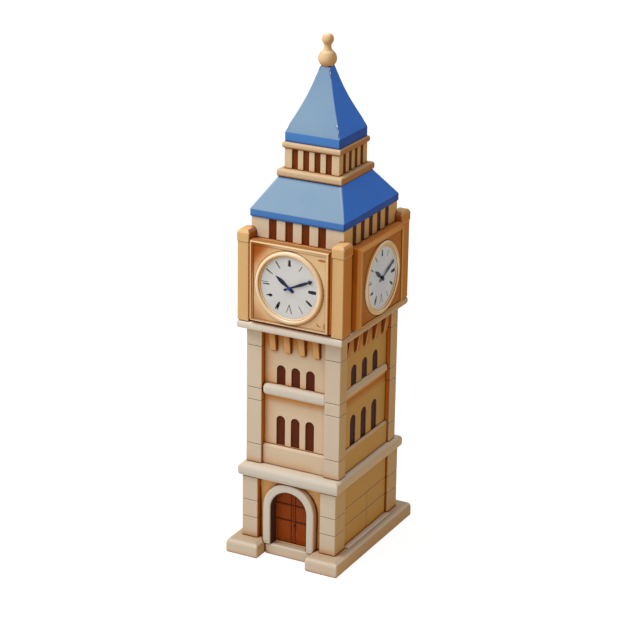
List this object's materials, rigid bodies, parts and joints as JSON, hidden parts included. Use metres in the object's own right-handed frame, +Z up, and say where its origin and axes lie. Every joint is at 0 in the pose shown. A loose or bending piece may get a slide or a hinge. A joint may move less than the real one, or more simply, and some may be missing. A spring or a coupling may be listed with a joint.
{
  "type": "clock tower",
  "caption": "Square stone clock tower with an arched double door, louvred belfry and lantern stages, blue hipped roof and spire, and a working dial on every face.",
  "frame": {"origin": "centre of the plinth on the ground", "axes": "+Z up, -Y towards the door front, +X to the right seen from the front"},
  "size_m": [5.6, 7.28, 22.324],
  "materials": {
    "plinth_stone": "smooth dressed limestone",
    "pier_stone": "smooth dressed limestone, soft arrises",
    "wall_stone": "smooth rubbed stone, warm in the hollows",
    "moulding_stone": "pale rubbed stone",
    "clock_stone": "ochre stained stone, dark in the crevices",
    "floor_stone": "plain paving",
    "door_timber": "oiled brown timber",
    "hinge_iron": "black painted iron",
    "shutter_timber": "dark brown boarding",
    "dial_enamel": "off-white enamel with dark hour bars",
    "hand_paint": "dark navy paint",
    "roof_blue": "satin blue paint, chipped on the hips",
    "finial_stone": "pale turned stone"
  },
  "bodies": {
    "root": {"attic_floor": "floor_stone", "attic_louvres": "shutter_timber", "attic_posts": "pier_stone", "base_plinth": "plinth_stone", "clock_bezels": "clock_stone", "clock_cornice": "moulding_stone", "clock_dials": "dial_enamel", "clock_floor": "floor_stone", "clock_frames": "clock_stone", "clock_piers": "clock_stone", "clock_wall_back": "clock_stone", "clock_wall_front": "clock_stone", "clock_wall_left": "clock_stone", "clock_wall_right": "clock_stone", "corbels": "clock_stone", "door_pintles": "hinge_iron", "door_step": "plinth_stone", "door_surround": "moulding_stone", "finial": "finial_stone", "first_floor": "floor_stone", "ground_floor": "floor_stone", "ground_piers": "pier_stone", "ground_wall_back": "wall_stone", "ground_wall_front_head": "wall_stone", "ground_wall_front_left": "wall_stone", "ground_wall_front_right": "wall_stone", "ground_wall_left": "wall_stone", "ground_wall_right": "wall_stone", "lantern_base": "moulding_stone", "lantern_cornice": "moulding_stone", "lantern_louvres": "shutter_timber", "lantern_posts": "pier_stone", "lower_roof": "roof_blue", "second_floor": "floor_stone", "shaft_piers": "pier_stone", "shaft_wall_back": "wall_stone", "shaft_wall_front": "wall_stone", "shaft_wall_left": "wall_stone", "shaft_wall_right": "wall_stone", "sill_bands": "moulding_stone", "spire_roof": "roof_blue", "string_course": "moulding_stone", "window_aprons": "wall_stone", "window_shutters": "shutter_timber"},
    "door_leaf_left": {"door_leaf_left": "door_timber"},
    "door_leaf_right": {"door_leaf_right": "door_timber"},
    "hour_hand_back": {"hour_hand_back": "hand_paint"},
    "hour_hand_front": {"hour_hand_front": "hand_paint"},
    "hour_hand_left": {"hour_hand_left": "hand_paint"},
    "hour_hand_right": {"hour_hand_right": "hand_paint"},
    "minute_hand_back": {"minute_hand_back": "hand_paint"},
    "minute_hand_front": {"minute_hand_front": "hand_paint"},
    "minute_hand_left": {"minute_hand_left": "hand_paint"},
    "minute_hand_right": {"minute_hand_right": "hand_paint"}
  },
  "joints": [
    {"name": "door_left_swing", "type": "hinge", "parent": "root", "child": "door_leaf_left", "pos_m": [-0.93, -2.415, 1.4], "axis": [0, 0, 1], "range_deg": [0, 90]},
    {"name": "door_right_swing", "type": "hinge", "parent": "root", "child": "door_leaf_right", "pos_m": [0.93, -2.415, 1.4], "axis": [0, 0, -1], "range_deg": [0, 90]},
    {"name": "minute_hand_front_turn", "type": "hinge", "parent": "root", "child": "minute_hand_front", "pos_m": [0, -3.085, 12.315], "axis": [0, 1, 0], "continuous": true},
    {"name": "hour_hand_front_turn", "type": "hinge", "parent": "root", "child": "hour_hand_front", "pos_m": [0, -3.085, 12.315], "axis": [0, 1, 0], "continuous": true},
    {"name": "minute_hand_back_turn", "type": "hinge", "parent": "root", "child": "minute_hand_back", "pos_m": [0, 3.085, 12.315], "axis": [0, -1, 0], "continuous": true},
    {"name": "hour_hand_back_turn", "type": "hinge", "parent": "root", "child": "hour_hand_back", "pos_m": [0, 3.085, 12.315], "axis": [0, -1, 0], "continuous": true},
    {"name": "minute_hand_left_turn", "type": "hinge", "parent": "root", "child": "minute_hand_left", "pos_m": [-2.68, 0, 12.315], "axis": [1, 0, 0], "continuous": true},
    {"name": "hour_hand_left_turn", "type": "hinge", "parent": "root", "child": "hour_hand_left", "pos_m": [-2.68, 0, 12.315], "axis": [1, 0, 0], "continuous": true},
    {"name": "minute_hand_right_turn", "type": "hinge", "parent": "root", "child": "minute_hand_right", "pos_m": [2.68, 0, 12.315], "axis": [-1, 0, 0], "continuous": true},
    {"name": "hour_hand_right_turn", "type": "hinge", "parent": "root", "child": "hour_hand_right", "pos_m": [2.68, 0, 12.315], "axis": [-1, 0, 0], "continuous": true}
  ],
  "couplings": [
    {"joint": "hour_hand_front_turn", "follows": "minute_hand_front_turn", "ratio": 0.083333},
    {"joint": "minute_hand_back_turn", "follows": "minute_hand_front_turn", "ratio": 1},
    {"joint": "hour_hand_back_turn", "follows": "minute_hand_front_turn", "ratio": 0.083333},
    {"joint": "minute_hand_left_turn", "follows": "minute_hand_front_turn", "ratio": 1},
    {"joint": "hour_hand_left_turn", "follows": "minute_hand_front_turn", "ratio": 0.083333},
    {"joint": "minute_hand_right_turn", "follows": "minute_hand_front_turn", "ratio": 1},
    {"joint": "hour_hand_right_turn", "follows": "minute_hand_front_turn", "ratio": 0.083333}
  ]
}
